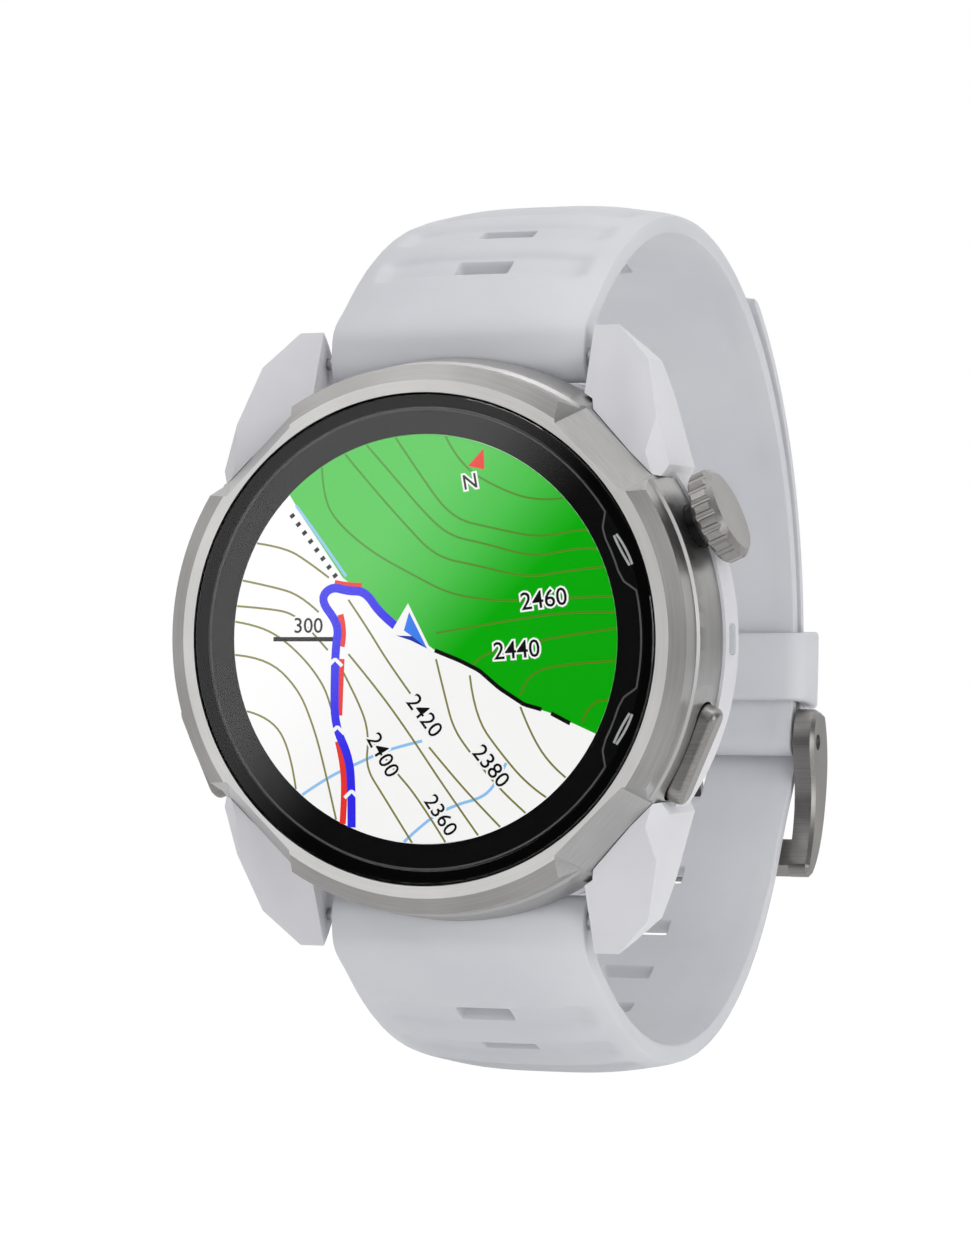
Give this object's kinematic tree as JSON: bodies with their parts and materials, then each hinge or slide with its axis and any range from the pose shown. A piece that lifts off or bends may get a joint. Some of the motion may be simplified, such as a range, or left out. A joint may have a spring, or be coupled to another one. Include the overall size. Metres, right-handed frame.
{
  "type": "gps watch",
  "caption": "Round GPS sports watch with a metal bezel, map screen, fluted crown and side buttons, on a closed silicone strap with a pin buckle and keeper.",
  "frame": {"origin": "centre of the sensor window's flat face, which lies on the wrist", "axes": "+Z towards 12 o'clock and up, +X towards 3 o'clock and the crown, -Y out of the dial"},
  "size_m": [0.0488, 0.0772, 0.0764],
  "materials": {
    "titanium": "brushed",
    "glass": "polished",
    "screen": "gloss",
    "black_plastic": "matte",
    "black_rubber": "matte",
    "clear_plastic": "gloss",
    "white_polymer": "satin",
    "dark_window": "polished",
    "circuit_board": "satin",
    "gold_contacts": "plated",
    "chip_cans": "satin",
    "battery_cell": "satin",
    "foam_pad": "matte",
    "antenna_metal": "plated",
    "tungsten": "sintered",
    "steel": "satin",
    "silicone": "matte"
  },
  "bodies": {
    "case": {"bezel": "titanium", "lens": "glass", "lens_gasket": "black_rubber", "border_ring": "black_plastic", "display_panel": "screen", "backlight": "clear_plastic", "display_holder": "black_plastic", "mid_case": "white_polymer", "case_back": "white_polymer", "case_back_gasket": "black_rubber", "case_back_screws": "steel", "board_screws": "steel", "sensor_window": "dark_window", "sensor_board": "circuit_board", "sensor_leds": "clear_plastic", "charge_contacts": "gold_contacts", "main_board": "circuit_board", "board_chips": "chip_cans", "battery": "battery_cell", "battery_pad": "foam_pad", "vibration_motor": "steel", "speaker": "black_plastic", "antenna_ring": "antenna_metal", "crown_tube": "steel", "button_guides": "steel", "side_switches": "black_plastic", "spring_bar_tubes": "steel", "bar_springs": "steel", "upper_strap": "silicone", "lower_strap": "silicone"},
    "crown_slider": {"crown_pusher": "black_plastic"},
    "crown": {"crown_knob": "titanium", "crown_stem": "steel", "crown_seal": "black_rubber", "crown_clip": "steel"},
    "back_key": {"back_button": "titanium", "back_button_seal": "black_rubber", "back_button_clip": "steel"},
    "action_key": {"action_button": "titanium", "action_button_seal": "black_rubber", "action_button_clip": "steel"},
    "motor_rotor": {"motor_shaft": "steel", "motor_weight": "tungsten"},
    "upper_lever": {"upper_bar_lever": "steel"},
    "lower_lever": {"lower_bar_lever": "steel"},
    "buckle": {"buckle_frame": "titanium", "buckle_bar": "steel"},
    "tongue": {"buckle_tongue": "titanium"},
    "strap_keeper": {"keeper": "silicone"}
  },
  "joints": [
    {"name": "crown_press", "type": "slide", "parent": "case", "child": "crown_slider", "axis": [-0.9191, 0, -0.3939], "range_m": [0, 0.0003], "stiffness_N_per_m": 3000},
    {"name": "crown_spin", "type": "hinge", "parent": "crown_slider", "child": "crown", "pos_m": [0.02114, -0.0069, 0.00906], "axis": [0.9191, 0, 0.3939], "continuous": true},
    {"name": "back_button_press", "type": "slide", "parent": "case", "child": "back_key", "axis": [-0.9171, 0, 0.3987], "range_m": [0, 0.0005], "stiffness_N_per_m": 3000},
    {"name": "action_button_press", "type": "slide", "parent": "case", "child": "action_key", "axis": [0.9171, 0, 0.3987], "range_m": [0, 0.0005], "stiffness_N_per_m": 3000},
    {"name": "motor_spin", "type": "hinge", "parent": "case", "child": "motor_rotor", "pos_m": [0, -0.00475, 0.0134], "axis": [1, 0, 0], "continuous": true},
    {"name": "upper_bar_release", "type": "slide", "parent": "case", "child": "upper_lever", "axis": [-1, 0, 0], "range_m": [0, 0.0014], "stiffness_N_per_m": 800, "deforming": ["bar_springs"]},
    {"name": "lower_bar_release", "type": "slide", "parent": "case", "child": "lower_lever", "axis": [-1, 0, 0], "range_m": [0, 0.0014], "stiffness_N_per_m": 800, "deforming": ["bar_springs"]},
    {"name": "buckle_hinge", "type": "hinge", "parent": "case", "child": "buckle", "pos_m": [0, 0.05761, -0.00985], "axis": [1, 0, 0], "range_deg": [0, 12]},
    {"name": "tongue_hinge", "type": "hinge", "parent": "buckle", "child": "tongue", "pos_m": [0, 0.05761, -0.00985], "axis": [1, 0, 0], "range_deg": [0, 8]},
    {"name": "keeper_slide", "type": "hinge", "parent": "case", "child": "strap_keeper", "pos_m": [0, 0.0221, 0], "axis": [1, 0, 0], "range_deg": [0, 20]}
  ]
}
